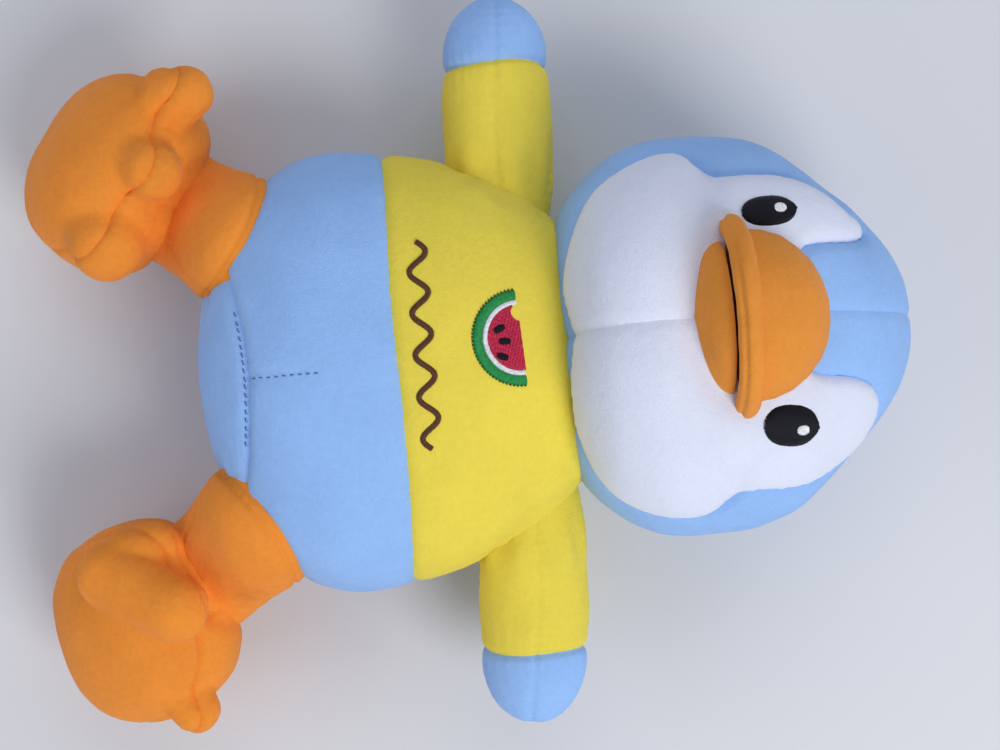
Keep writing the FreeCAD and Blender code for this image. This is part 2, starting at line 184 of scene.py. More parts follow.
def dense(points, step=0.5, closed=False, smooth=True):
    p = np.array(points, float)
    if smooth:
        out = []
        m = len(p)
        rng = range(m if closed else m - 1)
        for i in rng:
            a = p[(i - 1) % m] if closed or i > 0 else 2 * p[0] - p[1]
            b, c = p[i % m], p[(i + 1) % m]
            d = p[(i + 2) % m] if closed or i < m - 2 else 2 * p[-1] - p[-2]
            for t in np.linspace(0, 1, 16, endpoint=False):
                out.append(0.5 * ((2 * b) + (-a + c) * t + (2 * a - 5 * b + 4 * c - d) * t * t
                                  + (-a + 3 * b - 3 * c + d) * t ** 3))
        if not closed:
            out.append(p[-1])
        p = np.array(out)
    if closed:
        p = np.concatenate([p, p[:1]])
    s = np.concatenate([[0], np.cumsum(np.linalg.norm(np.diff(p, axis=0), axis=1))])
    q = np.arange(0, s[-1], step)
    return np.stack([np.interp(q, s, p[:, k]) for k in range(p.shape[1])], 1)


def nearest(v, line):
    """Distance from each point to a dense line of points, and how far along it that is."""
    d = np.empty(len(v)); idx = np.empty(len(v), int)
    for i in range(0, len(v), 4000):
        q = ((v[i:i + 4000, None, :] - line[None]) ** 2).sum(2)
        idx[i:i + 4000] = q.argmin(1)
        d[i:i + 4000] = np.sqrt(q.min(1))
    s = np.concatenate([[0], np.cumsum(np.linalg.norm(np.diff(line, axis=0), axis=1))])
    return d, s[idx]


def in_poly(x, y, poly):
    inside = np.zeros(len(x), bool)
    px, py = poly[:, 0], poly[:, 1]
    j = len(poly) - 1
    for i in range(len(poly)):
        hit = ((py[i] > y) != (py[j] > y)) & (x < (px[j] - px[i]) * (y - py[i]) / (py[j] - py[i] + 1e-12) + px[i])
        inside ^= hit
        j = i
    return inside


def seam(d, arc, depth, width, pucker=0.35, pitch=5.0, reach=5.0, seed=3):
    """A sewn seam: a narrow valley, with small gathers running away from it."""
    jig = 1.6 * np.sin(arc / 13.1 + seed) + 1.1 * np.sin(arc / 5.7 + 2.1 * seed)
    amp = 0.6 + 0.4 * np.sin(arc / 17.0 + 1.7 * seed)
    return (-depth * np.exp(-(d / width) ** 2)
            + pucker * amp * np.cos(2 * math.pi * arc / pitch + jig) * np.exp(-d / reach) * (1 - np.exp(-d / 1.2)))


def puff(d, height, length):
    return height * (1 - np.exp(-d / length))


# ------------------------------------------------------------------ materials
def srgb(r, g, b):
    def lin(c):
        c = c / 255.0
        return c / 12.92 if c <= 0.04045 else ((c + 0.055) / 1.055) ** 2.4
    return (lin(r), lin(g), lin(b), 1.0)


def fabric(name, rgb, sheen=0.22, nap=0.35, shade=0.80, lift=1.10, sheen_rough=0.35, dirt=0.0):
    """Short pile velour: soft patches where the pile leans, fine fibre grain, a pale edge against the light."""
    m = bpy.data.materials.new(name)
    m.use_nodes = True
    nt = m.node_tree
    b = nt.nodes["Principled BSDF"]
    c = srgb(*rgb)
    dark = tuple(x * shade for x in c[:3]) + (1,)
    light = tuple(min(x * lift, 1.0) for x in c[:3]) + (1,)
    tc = nt.nodes.new("ShaderNodeTexCoord")

    def tex(scale, detail, rough=0.55):
        n = nt.nodes.new("ShaderNodeTexNoise")
        n.inputs["Scale"].default_value = scale
        n.inputs["Detail"].default_value = detail
        n.inputs["Roughness"].default_value = rough
        nt.links.new(tc.outputs["Object"], n.inputs["Vector"])
        return n

    def ramp(src, lo, hi, a, z):
        r = nt.nodes.new("ShaderNodeValToRGB")
        r.color_ramp.elements[0].position, r.color_ramp.elements[1].position = lo, hi
        r.color_ramp.elements[0].color, r.color_ramp.elements[1].color = a, z
        nt.links.new(src, r.inputs["Fac"])
        return r

    patches, grain, fibre = tex(38, 3), tex(420, 3), tex(1900, 2)
    r1 = ramp(patches.outputs["Fac"], 0.36, 0.66, dark, light)
    r2 = ramp(grain.outputs["Fac"], 0.30, 0.72, dark, light)
    mix = nt.nodes.new("ShaderNodeMix"); mix.data_type = "RGBA"
    mix.inputs["Factor"].default_value = 0.5
    nt.links.new(r1.outputs["Color"], mix.inputs["A"]); nt.links.new(r2.outputs["Color"], mix.inputs["B"])
    mix2 = nt.nodes.new("ShaderNodeMix"); mix2.data_type = "RGBA"
    mix2.inputs["Factor"].default_value = 0.62
    mix2.inputs["A"].default_value = c
    nt.links.new(mix.outputs["Result"], mix2.inputs["B"])
    last = mix2.outputs["Result"]
    if dirt:
        spots = tex(21, 5, 0.7)
        rs = ramp(spots.outputs["Fac"], 0.60, 0.74, (0, 0, 0, 1), (dirt, dirt, dirt, 1))
        mix3 = nt.nodes.new("ShaderNodeMix"); mix3.data_type = "RGBA"
        nt.links.new(rs.outputs["Color"], mix3.inputs["Factor"])
        nt.links.new(last, mix3.inputs["A"])
        mix3.inputs["B"].default_value = tuple(x * 0.42 for x in c[:3]) + (1,)
        last = mix3.outputs["Result"]
    nt.links.new(last, b.inputs["Base Color"])
    add = nt.nodes.new("ShaderNodeMath"); add.operation = "ADD"
    nt.links.new(fibre.outputs["Fac"], add.inputs[0]); nt.links.new(grain.outputs["Fac"], add.inputs[1])
    bump = nt.nodes.new("ShaderNodeBump")
    bump.inputs["Strength"].default_value = nap
    bump.inputs["Distance"].default_value = 0.0009
    nt.links.new(add.outputs[0], bump.inputs["Height"])
    nt.links.new(bump.outputs["Normal"], b.inputs["Normal"])
    b.inputs["Roughness"].default_value = 0.93
    b.inputs["Specular IOR Level"].default_value = 0.15
    b.inputs["Sheen Weight"].default_value = sheen
    b.inputs["Sheen Roughness"].default_value = sheen_rough
    b.inputs["Sheen Tint"].default_value = tuple(0.5 + 0.5 * x for x in c[:3]) + (1,)
    return m


def thread(name, rgb, rough=0.42):
    m = bpy.data.materials.new(name)
    m.use_nodes = True
    nt = m.node_tree
    b = nt.nodes["Principled BSDF"]
    c = srgb(*rgb)
    tc = nt.nodes.new("ShaderNodeTexCoord")
    n = nt.nodes.new("ShaderNodeTexNoise")
    n.inputs["Scale"].default_value = 900
    n.inputs["Detail"].default_value = 2
    nt.links.new(tc.outputs["Object"], n.inputs["Vector"])
    r = nt.nodes.new("ShaderNodeValToRGB")
    r.color_ramp.elements[0].position, r.color_ramp.elements[1].position = 0.3, 0.7
    r.color_ramp.elements[0].color = tuple(x * 0.78 for x in c[:3]) + (1,)
    r.color_ramp.elements[1].color = tuple(min(x * 1.12, 1) for x in c[:3]) + (1,)
    nt.links.new(n.outputs["Fac"], r.inputs["Fac"])
    nt.links.new(r.outputs["Color"], b.inputs["Base Color"])
    b.inputs["Roughness"].default_value = rough
    b.inputs["Specular IOR Level"].default_value = 0.25
    b.inputs["Sheen Weight"].default_value = 0.04
    return m


M = {
    "yellow_fabric": fabric("yellow_pile", (243, 222, 84), shade=0.86, lift=1.04),
    "blue_fabric": fabric("blue_pile", (156, 197, 253), shade=0.86, lift=1.05),
    "white_fabric": fabric("white_pile", (230, 235, 253), shade=0.92, lift=1.02),
    "orange_fabric": fabric("orange_pile", (252, 152, 58), dirt=0.34, shade=0.80, lift=1.08),
    "beak": fabric("beak_pile", (238, 152, 62), shade=0.84, lift=1.06),
    # the mouth lining's dark brown is painted shade for the recess between the two beaks
    "mouth_fabric": fabric("mouth_pile_painted_shade", (120, 62, 20)),
    "black_thread": thread("black_thread", (6, 8, 20), 0.62),
    "white_thread": thread("white_thread", (238, 240, 248)),
    "green_thread": thread("green_thread", (40, 150, 78)),
    "dark_green": thread("dark_green_thread", (20, 96, 52)),
    "red_thread": thread("red_thread", (205, 45, 82)),
    "brown_thread": thread("brown_thread", (98, 60, 42)),
    "blue_thread": thread("blue_thread", (84, 104, 166)),
    "stuffing": fabric("fibre", (240, 240, 238)),
}


def make(name, v, f, mat, slot=None, smooth=True):
    me = bpy.data.meshes.new(name)
    me.from_pydata([tuple(map(float, p)) for p in np.asarray(v) / 1000.0], [], [tuple(map(int, q)) for q in f])
    me.materials.append(M[mat])
    me.polygons.foreach_set("use_smooth", [smooth] * len(me.polygons))
    me.update()
    o = bpy.data.objects.new(name, me)
    bpy.context.scene.collection.objects.link(o)
    slot or mat
    return o


def part_of(v, f, keep):
    sub = f[keep]
    used, inv = np.unique(sub, return_inverse=True)
    return v[used], inv.reshape(sub.shape)


def metres(*p):
    return tuple(x / 1000.0 for x in p)


def filling(node, v, f, ride=None, blend=None, deep=5.0):
    """The stuffing, held well inside its cloth."""
    n = normals(v, f)
    depth = deep if np.ndim(deep) else np.full(len(v), float(deep))
    o = make(node + "_fibre", v - n * depth[:, None], f, "stuffing")
    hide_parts(node)
    if blend:
        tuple(blend[2])
        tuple(blend[3])
        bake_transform(o)
    else:
        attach(o, ride)
    return o


# ------------------------------------------------------------------ torso
TZ, TFLAT = 55.0, 0.66
TORSO = table([(-79.5, 0.0), (-78.0, 16.0), (-74.0, 34.0), (-66.0, 54.0), (-54.0, 72.0), (-40.0, 82.5),
               (-22.0, 87.5), (-5.0, 86.5), (15.0, 82.5), (33.0, 76.0), (50.0, 67.0), (65.0, 56.0), (78.0, 42.0),
               (86.0, 26.0), (89.0, 0.0)])


def torso_r(y):
    return np.interp(y, TORSO[0], TORSO[1], left=0, right=0)


def in_torso(p):
    r = torso_r(p[:, 1])
    e = np.maximum(np.maximum(-79.5 - p[:, 1], p[:, 1] - 89.0), 0)
    return np.hypot(p[:, 0], (p[:, 2] - TZ) / TFLAT) - r + e * 50


def soft_floor(v, z0=0.3, k=5.0):
    """The stuffing flattens where it rests."""
    z = v[:, 2] - z0
    v = v.copy()
    v[:, 2] = z0 + np.where(z > k, z, k * 0.5 * np.maximum(1 + np.clip(z / k, -1, 1), 0) ** 2 * 0.5 + 0.0)
    return v


def settle(v, z0=0.3, k=4.0):
    """Smooth clamp: never below z0, unchanged above z0 + k."""
    z = v[:, 2] - z0
    out = v.copy()
    t = np.clip((z + k) / (2 * k), 0, 1)
    out[:, 2] = z0 + np.where(z >= k, z, k * t * t)
    return out


sub = 6
d, f = ico(sub)
stretch = d * np.array([1.0, 1.0, 0.8])
d = stretch / np.linalg.norm(stretch, axis=1)[:, None]
v = project(np.array([0.0, 0.0, TZ]), d, in_torso, 140)

tw, ts = math.tan(math.radians(3.5)), math.tan(math.radians(4.5))


def waist_g(p):
    return p[:, 1] - (0.3 + 3.4 * sstep(0, 57, p[:, 2] - TZ) * 1.0 - 3.0 * sstep(0, 57, TZ - p[:, 2])) - 0.5 * np.sin(p[:, 0] / 19.0)


def seat_g(p):
    # the seat panel dips in the middle of the front
    return p[:, 1] - (-57.0 + (p[:, 2] - TZ) * ts - 0.0012 * p[:, 0] ** 2 * sstep(0, 30, p[:, 2] - TZ) * 3.0)


v, f, _ = refine(v, f, waist_g(v))
v, f, _ = refine(v, f, seat_g(v))


def side_g(p):
    return p[:, 2] - TZ


v, f, _ = refine(v, f, side_g(v))
gw, gs, gz = waist_g(v), seat_g(v), side_g(v)
arc = np.arctan2((v[:, 2] - TZ) / TFLAT, v[:, 0]) * 80.0
n = normals(v, f)
dw, dse = np.abs(gw), np.abs(gs)
dz = np.abs(gz) * 1.0
front_mid = np.abs(v[:, 0])
off = np.zeros(len(v))
near_hip = np.exp(-((np.abs(v[:, 0]) - 52) ** 2 + (v[:, 1] + 52) ** 2 + (v[:, 2] - 58) ** 2) / 30.0 ** 2)
off += puff(dw, 0.9, 5.0) - 0.9 + seam(dw, arc, 1.3, 1.5, 0.28, 6.0, 5, 1)
off += puff(dse, 1.0, 6.0) - 1.0 + seam(dse, arc, 1.5, 1.5, 0.45, 4.2, 6, 5)
off += np.where(gs > -1, seam(dz, v[:, 1], 1.1, 1.4, 0.25, 6.5, 5, 2), 0)
dart_on = (v[:, 1] > -56) & (v[:, 1] < -22) & (v[:, 2] > TZ)
fade = sstep(-22, -34, v[:, 1]) * sstep(-58, -54, v[:, 1])
off += np.where(v[:, 2] > TZ, seam(front_mid, v[:, 1], 1.0, 1.4, 0.22, 4.6, 4, 6) * fade, 0)
off += 0.55 * noise(v, 26, 1) + 0.28 * noise(v, 11, 2) + 0.10 * noise(v, 4.5, 3)
# gathers that run out from the hips and the armholes
for (hx, hy, hz) in ((-49, -49, 58), (51.5, -51, 58), (-62, 46, 48), (62, 48, 48)):
    dist = np.sqrt((v[:, 0] - hx) ** 2 + (v[:, 1] - hy) ** 2 + (v[:, 2] - hz) ** 2)
    ang = np.arctan2(v[:, 2] - hz, v[:, 1] - hy)
    off += 0.5 * np.cos(ang * 11 + 2 * np.sin(ang * 3)) * np.exp(-((dist - 27) / 9.0) ** 2)
    off -= 1.3 * np.exp(-((dist - 25) / 5.0) ** 2)
v = settle(v + n * off[:, None])
torso_v, torso_f = v, f
front = side(f, gz)
shirt = side(f, gw)
below = side(f, gs)
TORSO_PIECES = {
    "shirt_front": (shirt & front, "yellow_fabric"), "shirt_back": (shirt & ~front, "yellow_fabric"),
    "lower_body_front": (~shirt & below & front, "blue_fabric"),
    "lower_body_back": (~shirt & below & ~front, "blue_fabric"),
    "seat_panel": (~below & ~shirt, "blue_fabric"),
}
for name, (keep, mat) in TORSO_PIECES.items():
    o = make(name + "_cloth", *part_of(v, f, keep), mat)
    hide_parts(name)
    if name.startswith("shirt"):
        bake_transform(o)
    else:
        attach(o, "torso")
d4, f4 = ico(4)
d4s = d4 * np.array([1.0, 1.0, 0.8])
d4s = d4s / np.linalg.norm(d4s, axis=1)[:, None]
v4 = project(np.array([0.0, 0.0, TZ]), d4s, in_torso, 140)
v4[:, 2] = np.maximum(v4[:, 2], 2.0)
filling("torso_stuffing", v4, f4, ride="torso", deep=6.0 + 20.0 * sstep(36, 60, v4[:, 1]))
TORSO_TREE = BVHTree.FromPolygons([Vector(p) for p in torso_v], torso_f.tolist())

# ------------------------------------------------------------------ head
HC, HFLAT, HTURN = np.array([-2.6, 122.0, 61.0]), 0.815, 5.0
HEAD = table([(62.0, 0.0), (63.5, 25.0), (69.0, 52.0), (80.0, 65.0), (92.0, 73.0), (104.0, 76.8), (116.0, 77.6),
              (128.0, 77.2), (140.0, 75.2), (150.0, 71.0), (159.0, 64.6), (166.0, 58.8), (172.5, 53.0),
              (180.0, 46.0), (187.0, 38.4), (193.0, 30.0), (197.8, 20.0), (200.5, 10.0), (201.3, 0.0)])


def head_r(y):
    return np.interp(y, HEAD[0], HEAD[1], left=0, right=0)


def in_head(p):
    e = np.maximum(np.maximum(62.0 - p[:, 1], p[:, 1] - 201.3), 0)
    return np.hypot(p[:, 0] - HC[0], (p[:, 2] - 61.0) / HFLAT) - head_r(p[:, 1]) + e * 50


def head_z(x, y):
    r2 = head_r(y) ** 2 - (x - HC[0]) ** 2
    return 61.0 + HFLAT * np.sqrt(np.maximum(r2, 0))


d, f = ico(sub)
v = project(HC, d, in_head, 140)

MASK = [(-7.4, 66.0), (-26.0, 66.0), (-43.0, 70.5), (-55.5, 78.0), (-64.0, 88.5), (-69.0, 99.6), (-70.3, 109.8),
        (-68.0, 116.8), (-62.6, 122.4), (-60.0, 129.0), (-60.0, 138.0), (-59.2, 147.5), (-56.8, 157.0),
        (-52.0, 166.0), (-45.5, 174.5), (-39.5, 181.0), (-36.0, 182.8), (-33.8, 178.0), (-33.0, 170.0), (-32.6, 161.0),
        (-30.5, 152.5), (-20.0, 148.0), (-7.4, 147.0), (6.0, 148.0), (14.0, 151.5), (16.6, 158.5), (17.6, 166.5), (20.0, 175.0),
        (24.5, 180.8), (31.0, 182.0), (38.0, 179.0), (45.5, 172.5), (52.5, 162.5), (56.8, 151.0), (57.6, 141.0),
        (57.0, 131.5), (58.2, 124.8), (62.4, 118.0), (65.0, 109.1), (64.4, 98.8), (61.0, 88.8), (53.5, 78.4),
        (44.0, 71.0), (29.0, 66.4), (12.0, 65.5)]
mask2 = dense(MASK, 0.5, closed=True)
mz = head_z(mask2[:, 0], mask2[:, 1])
mask3 = np.column_stack([mask2, mz])


def mask_g(p):
    dist, along = nearest(p, mask3)
    inside = in_poly(p[:, 0], p[:, 1], mask2) & (p[:, 2] > 61)
    return np.where(inside, dist, -dist), along


def mid_g(p):
    t = math.radians(HTURN)
    return (p[:, 0] - HC[0]) * math.cos(t) + (p[:, 2] - 61.0) * math.sin(t)


g, _ = mask_g(v)
v, f, g = refine(v, f, g)
v, f, _ = refine(v, f, mid_g(v))
g, along = mask_g(v)
g = np.where(np.abs(g) < 0.3, 0.0, g)
gm = mid_g(v)
n = normals(v, f)
dm, dmid = np.abs(g), np.abs(gm)
in_mask = g > 0
bx, by = (v[:, 0] + 7.0) / 33.5, (v[:, 1] - 134.0) / 27.0
d_beak = np.maximum(np.hypot(bx, by) - 1, 0) * 29.0
d_beak = np.where(v[:, 2] > 61, d_beak, 99)
lobe = sstep(116, 136, v[:, 1])
height = 7.4 * (1 - lobe) + 3.4 * lobe
length = 9.0 * (1 - lobe) + 6.0 * lobe
chin = sstep(62, 84, v[:, 1])
off = np.where(in_mask, height * (1 - np.exp(-dm / length)) * (0.35 + 0.65 * (1 - np.exp(-d_beak / 9.0))) * (0.25 + 0.75 * chin),
               puff(dm, 1.8, 8.0) - 1.0)
off += seam(dm, along, 1.7, 1.5, 0.30, 5.4, 6, 2)
front_mid_on = np.where(v[:, 2] > 61, 1.0, 0.0)
off += seam(dmid, v[:, 1] + v[:, 2], 1.5, 1.5, 0.30, 4.6, 5, 4) * (0.9 - 0.25 * np.where(in_mask, 0, 1))
off -= 1.4 * np.exp(-(dmid / 9.0) ** 2) * np.where(in_mask, 1, 0.4)
# a soft fold where each cheek meets the lobe above it
fold = v[:, 1] - (124.5 - 0.0009 * (v[:, 0] + 3) ** 2)
wide = sstep(30, 58, np.abs(v[:, 0] + 3.0))
off -= np.where(in_mask, 2.6 * np.exp(-(fold / 5.0) ** 2) * wide, 0)
off += 0.55 * noise(v, 24, 5) + 0.25 * noise(v, 10, 6) + 0.09 * noise(v, 4.5, 7)
v = settle(v + n * off[:, None])
head_v, head_f = v, f
mask_side = side(f, g)
left = side(f, gm)
HEAD_PIECES = {
    "face_panel_right": (mask_side & ~left, "white_fabric"), "face_panel_left": (mask_side & left, "white_fabric"),
    "hood_right": (~mask_side & ~left, "blue_fabric"), "hood_left": (~mask_side & left, "blue_fabric"),
}
for name, (keep, mat) in HEAD_PIECES.items():
    o = make(name + "_cloth", *part_of(v, f, keep), mat)
    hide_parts(name)
    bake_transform(o)
v4 = project(HC, d4, in_head, 140)
v4[:, 2] = np.maximum(v4[:, 2], 2.0)
filling("head_stuffing", v4, f4, ride="head", deep=6.0 + 12.0 * (1 - sstep(72, 96, v4[:, 1])))
HEAD_TREE = BVHTree.FromPolygons([Vector(p) for p in head_v], head_f.tolist())


def tube(path, radius, sides=24, flat=1.0, up=(0, 0, 1), profile=None, closed_ends=True):
    """A tube along dense points; profile(angle, i) may vary the radius. Returns vertices and faces."""
    p = np.asarray(path, float)
    m = len(p)
    tan = np.gradient(p, axis=0)
    tan /= np.linalg.norm(tan, axis=1)[:, None]
    upv = np.tile(np.array(up, float), (m, 1)) if np.ndim(up) == 1 else np.asarray(up, float)
    b = np.cross(tan, upv); b /= np.linalg.norm(b, axis=1)[:, None]
    nn = np.cross(b, tan)
    a = np.linspace(0, 2 * math.pi, sides, endpoint=False)
    rad = np.broadcast_to(np.asarray(radius, float), (m,))
    rr = rad[:, None] * np.ones(sides)
    if profile is not None:
        rr = rr * profile(a[None, :], np.arange(m)[:, None])
    v = (p[:, None, :] + b[:, None, :] * (rr * np.cos(a))[:, :, None] + nn[:, None, :] * (rr * np.sin(a) * flat)[:, :, None])
    v = v.reshape(-1, 3)
    f = []
    for i in range(m - 1):
        for j in range(sides):
            k = (j + 1) % sides
            f.append((i * sides + j, i * sides + k, (i + 1) * sides + k, (i + 1) * sides + j))
    if closed_ends:
        v = np.concatenate([v, p[:1], p[-1:]])
        c0, c1 = m * sides, m * sides + 1
        for j in range(sides):
            k = (j + 1) % sides
            f.append((c0, k, j)); f.append((c1, (m - 1) * sides + j, (m - 1) * sides + k))
    return v, f


# ------------------------------------------------------------------ beak
BX, BZ = -7.0, 111.0
d, f = ico(5)
UB = np.array([32.3, 31.0, 36.6])
v = np.array([BX, 128.0, BZ]) + d * UB
v, f, gy = refine(v, f, v[:, 1] - 126.2)
keep = side(f, v[:, 1] - 126.2) & (v[f].mean(1)[:, 2] > 104)
n = normals(v, f)
zb = v[:, 2] - head_z(v[:, 0], v[:, 1])
off = 0.35 * noise(v, 12, 8) + 0.16 * noise(v, 5, 9) - 1.2 * np.exp(-(np.maximum(zb, 0) / 3.0) ** 2)
off += 0.35 * np.cos(np.arctan2(v[:, 1] - 128, v[:, 0] - BX) * 26) * np.exp(-np.maximum(zb, 0) / 5.0)
v = v + n * off[:, None]
o = make("upper_beak_cloth", *part_of(v, f, keep), "beak", "orange_fabric")
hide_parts("upper_beak"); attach(o, "head")

th = np.radians(np.linspace(4, 176, 130))
path = np.column_stack([BX - 0.3 + 33.0 * np.cos(th), np.full(130, 124.7) + 0.9 * np.cos(th) ** 2,
                        BZ + 36.2 * np.sin(th)])
outward = np.column_stack([np.cos(th), np.zeros(130), np.sin(th)])


def lip_shape(a, i):
    # a rolled edge with the seam that closes it along the lower part of its front
    s = 1.0 + 0.018 * np.sin(i * 0.21) * np.cos(a) + 0.012 * np.sin(i * 0.5 + 2 * a)
    groove = 0.22 * np.exp(-((np.angle(np.exp(1j * (a - SEAM_A)))) / 0.22) ** 2)
    return s - groove * (1 + 0.12 * np.sin(i * 1.9))


SEAM_A = math.radians(90 + 38)
v, f = tube(path, 4.4 - 1.0 * np.exp(-(np.minimum(np.arange(130), 129 - np.arange(130)) / 5.0) ** 2), 36, 1.0, up=outward, profile=lip_shape)
o = make("beak_lip_cloth", v, f, "beak", "orange_fabric")
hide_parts("beak_lip"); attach(o, "head")

d, f = ico(5)
LB = np.array([29.0, 12.6, 31.5])
v = np.array([BX + 0.3, 120.8, BZ]) + d * LB
top = 119.7
hollow = np.clip((v[:, 1] - top) / 6.0, 0, None)
v[:, 1] = np.where(v[:, 1] > top, top + 1.4 * np.tanh((v[:, 1] - top) / 1.4) - 1.1 * np.exp(-(((v[:, 0] - BX) / 20) ** 2)) * sstep(0, 3, v[:, 1] - top), v[:, 1])
n = normals(v, f)
keep = v[f].mean(1)[:, 2] > 112
off = 0.3 * noise(v, 9, 11) + 0.12 * noise(v, 4, 12)
v = v + n * off[:, None]
o = make("lower_beak_cloth", *part_of(v, f, keep), "beak", "orange_fabric")
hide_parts("lower_beak")
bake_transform(o)


# mouth lining between the beaks, coloured with painted shade for the gap under the lip
v = np.array([BX, 123.2, BZ]) + ico(4)[0] * np.array([27.8, 1.5, 33.5])
f = ico(4)[1]
n = normals(v, f)
keep = v[f].mean(1)[:, 2] > 112
v = v + n * (0.16 * noise(v, 7, 33))[:, None]
o = make("mouth_lining_cloth", *part_of(v, f, keep), "mouth_fabric")
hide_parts("mouth_lining"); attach(o, "head")
d3, f3 = ico(3)
filling("beak_stuffing", np.array([BX, 134.0, BZ + 2]) + d3 * np.array([26.0, 5.5, 26.0]) * 0.98, f3, ride="head", deep=1.0)
filling("lower_beak_stuffing", np.array([BX, 115.6, BZ + 9]) + d3 * np.array([18.0, 3.0, 15.0]), f3, ride="lower_beak", deep=0.5)


# ------------------------------------------------------------------ arms
def limb_grid(root, tip, prof_w, prof_h, s0, rings=150, sides=120, bend=0.0):
    """A limb from s0 before the root to its rounded tip: its own frame and a grid of points."""
    dvec = tip - root
    length = np.linalg.norm(dvec)
    y = dvec / length
    x = np.cross(y, [0, 0, 1]); x /= np.linalg.norm(x)
    z = np.cross(x, y)
    u = np.linspace(0, 1, rings)
    s = s0 + (length - s0) * (1 - (1 - u) ** 1.35)
    w, h = np.interp(s, *prof_w), np.interp(s, *prof_h)
    a = np.linspace(0, 2 * math.pi, sides, endpoint=False)
    S = np.repeat(s[:, None], sides, 1)
    ca, sa = np.cos(a), np.sin(a)
    P = (root + y * s[:, None, None].reshape(-1, 1, 1) + x * (w[:, None] * ca)[:, :, None]
         + z * (h[:, None] * sa)[:, :, None])
    v = P.reshape(-1, 3)
    f = []
    for i in range(rings - 1):
        b0, b1 = i * sides, (i + 1) * sides
        for j in range(sides):
            k = (j + 1) % sides
            f.append((b0 + j, b0 + k, b1 + k)); f.append((b0 + j, b1 + k, b1 + j))
    v = np.concatenate([v, (root + y * length)[None]])
    for j in range(sides):
        f.append(((rings - 1) * sides + j, (rings - 1) * sides + (j + 1) % sides, len(v) - 1))
    return v, np.array(f), (x, y, z, length)


def orient(v, f, centre):
    """Faces outward from the axis point given."""
    n = normals(v, f)
    if np.einsum("ij,ij->i", n, v - centre).mean() < 0:
        f = f[:, ::-1]
    return f


ARMS = {"right": (np.array([-57.0, 46.0, 48.0]), np.array([-146.8, 49.5, 46.0]), 60.0, -1),
        "left": (np.array([57.0, 49.0, 48.0]), np.array([147.8, 42.5, 46.0]), 60.0, 1)}
for sd, (root, tip, cuff, sg) in ARMS.items():
    L = np.linalg.norm(tip - root)
    body_w = [(-24, 4.0), (-18, 11.0), (-8, 17.0), (0, 19.4), (10, 20.6), (25, 21.6), (45, 22.2), (58, 21.9)]
    body_h = [(-24, 4.0), (-18, 10.0), (-8, 15.0), (0, 17.2), (10, 18.4), (25, 19.6), (45, 20.2), (58, 20.0)]
    cap = [math.sin(math.radians(q)) for q in (14, 28, 42, 54, 64, 73, 81, 90)]
    pw = table(body_w + [(62 + (L - 62) * q, 21.6 * (1 - q * q) ** 0.5) for q in cap])
    ph = table(body_h + [(62 + (L - 62) * q, 19.8 * (1 - q * q) ** 0.5) for q in cap])
    v, f, (x, y, z, L) = limb_grid(root, tip, pw, ph, -24.0, rings=190)
    f = orient(v, f, root + y * 45)
    st, en = root + y * 14, root + y * 40
    vi, fi, _ = limb_grid(root, tip, pw, ph, 12.0, rings=30, sides=40)
    filling(sd + "_arm_stuffing", vi, orient(vi, fi, root + y * 45),
            blend=("torso", sd + "_arm", metres(*st), metres(*en)), deep=4.5)
    rel = v - root
    s, lx, lz = rel @ y, rel @ x, rel @ z
    v, f, gc = refine(v, f, s - cuff - 0.8 * np.sin(np.arctan2(lz, lx) * 2))
    rel = v - root
    s, lx, lz = rel @ y, rel @ x, rel @ z
    ang = np.arctan2(lz, lx)
    gc = s - cuff - 0.8 * np.sin(ang * 2)
    n = normals(v, f)
    dc = np.abs(gc)
    off = puff(dc, 1.0, 5.0) - 0.8 + seam(dc, ang * 20, 1.3, 1.4, 0.32, 4.5, 5, 3)
    dside = np.abs(lx) * 1.0
    line = np.where(lz > 0, np.abs(lx + 1.5 * np.sin(s / 20.0)), 99)
    off += seam(line, s, 0.75, 1.3, 0.15, 4.2, 4, 5)
    under = np.abs(lz)
    off += seam(np.where(np.abs(lx) > 8, under, 99), s, 0.9, 1.3, 0.22, 5.0, 5, 8)
    root_d = np.maximum(s - 14.0, 0)
    off += 0.8 * np.cos(ang * 9 + 1.5 * np.sin(ang * 2)) * np.exp(-((s - 17) / 9.0) ** 2)
    off += 0.45 * noise(v, 17, 13) + 0.22 * noise(v, 8, 14) + 0.08 * noise(v, 4, 15)
    v = v + n * off[:, None]
    hand = side(f, gc)
    a = make(sd + "_sleeve_cloth", *part_of(v, f, ~hand), "yellow_fabric")
    b = make(sd + "_hand_tip_cloth", *part_of(v, f, hand), "blue_fabric")
    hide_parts(sd + "_sleeve"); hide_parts(sd + "_hand_tip")
    st, en = root + y * 14, root + y * 40
    metres(*st)
    metres(*en)
    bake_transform(a)
    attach(b, sd + "_arm")

